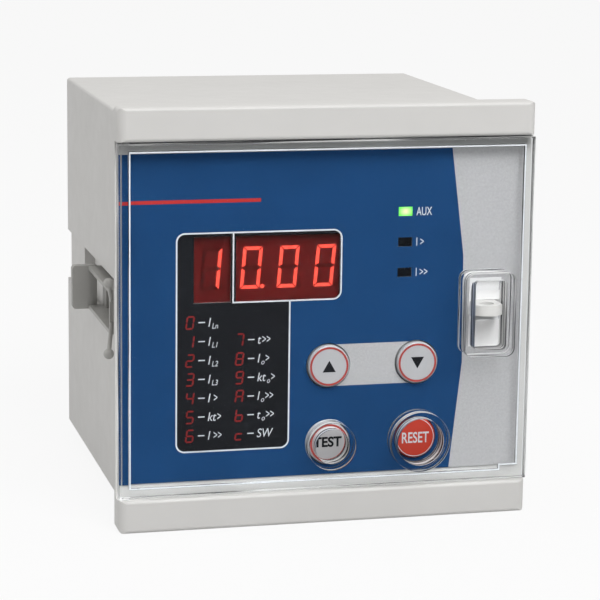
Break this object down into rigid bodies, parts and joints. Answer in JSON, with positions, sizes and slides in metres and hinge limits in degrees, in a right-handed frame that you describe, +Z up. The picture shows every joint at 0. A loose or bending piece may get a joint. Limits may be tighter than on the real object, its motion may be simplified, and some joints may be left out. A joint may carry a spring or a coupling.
{
  "type": "protection relay",
  "caption": "Panel-mounted protection relay with a square front, clear hinged cover with key collars and seal boss, digit display, keys, side clamps and rear terminals.",
  "frame": {"origin": "centre of the flange's rear face, which lies on the panel", "axes": "+X right seen from the front, +Y to the rear along the case, +Z up"},
  "size_m": [0.1006, 0.1065, 0.096],
  "materials": {
    "case_grey": "fine moulded grain",
    "fascia_print": "printed film, satin",
    "filter_red": "clear tinted sheet",
    "digit_face": "satin",
    "segment_lit": "lit",
    "segment_dark": "unlit",
    "led_green": "lit",
    "led_dark": "unlit, dark lens",
    "tab_white": "satin moulded",
    "clear_cover": "clear polished polycarbonate",
    "key_grey": "satin moulded",
    "key_red": "satin moulded",
    "clamp_grey": "satin moulded",
    "black_plastic": "matt",
    "board_green": "solder resist",
    "steel": "plated",
    "connector_white": "matt",
    "core_steel": "varnished laminations",
    "capacitor_sleeve": "shrink sleeve",
    "relay_case": "moulded",
    "winding": "taped winding",
    "terminal_green": "matt moulded",
    "brass": "plated"
  },
  "bodies": {
    "housing": {"front_bezel": "case_grey", "rear_case": "case_grey", "fascia_overlay": "fascia_print", "display_filter": "filter_red", "digit_modules": "digit_face", "lit_segments": "segment_lit", "unlit_segments": "segment_dark", "aux_led": "led_green", "start_led": "led_dark", "trip_led": "led_dark", "seal_tab": "tab_white", "key_switches": "black_plastic", "display_board": "board_green", "board_screws": "steel", "processor_chip": "black_plastic", "power_board": "board_green", "main_board": "board_green", "board_connectors": "connector_white", "supply_transformer": "core_steel", "smoothing_capacitors": "capacitor_sleeve", "output_relays": "relay_case", "current_transformers": "winding", "terminal_block_upper": "terminal_green", "terminal_block_lower": "terminal_green", "terminal_cages_upper": "brass", "terminal_cages_lower": "brass", "terminal_screws_upper": "steel", "terminal_screws_lower": "steel"},
    "cover": {"cover": "clear_cover"},
    "up_key": {"up_key": "key_grey"},
    "down_key": {"down_key": "key_grey"},
    "test_key": {"test_key": "key_grey"},
    "reset_key": {"reset_key": "key_red"},
    "left_clamp": {"left_clamp": "clamp_grey"},
    "right_clamp": {"right_clamp": "clamp_grey"}
  },
  "joints": [
    {"name": "cover_hinge", "type": "hinge", "parent": "housing", "child": "cover", "pos_m": [-0.0461, -0.0041, 0], "axis": [0, 0, -1], "range_deg": [0, 95]},
    {"name": "up_key_press", "type": "slide", "parent": "housing", "child": "up_key", "axis": [0, 1, 0], "range_m": [0, 0.0006], "stiffness_N_per_m": 1000, "springref_m": -0.0004},
    {"name": "down_key_press", "type": "slide", "parent": "housing", "child": "down_key", "axis": [0, 1, 0], "range_m": [0, 0.0006], "stiffness_N_per_m": 1000, "springref_m": -0.0004},
    {"name": "test_key_press", "type": "slide", "parent": "housing", "child": "test_key", "axis": [0, 1, 0], "range_m": [0, 0.0006], "stiffness_N_per_m": 1000, "springref_m": -0.0004},
    {"name": "reset_key_press", "type": "slide", "parent": "housing", "child": "reset_key", "axis": [0, 1, 0], "range_m": [0, 0.0006], "stiffness_N_per_m": 1000, "springref_m": -0.0004},
    {"name": "left_clamp_slide", "type": "slide", "parent": "housing", "child": "left_clamp", "axis": [0, 1, 0], "range_m": [0, 0.012]},
    {"name": "right_clamp_slide", "type": "slide", "parent": "housing", "child": "right_clamp", "axis": [0, 1, 0], "range_m": [0, 0.012]}
  ]
}
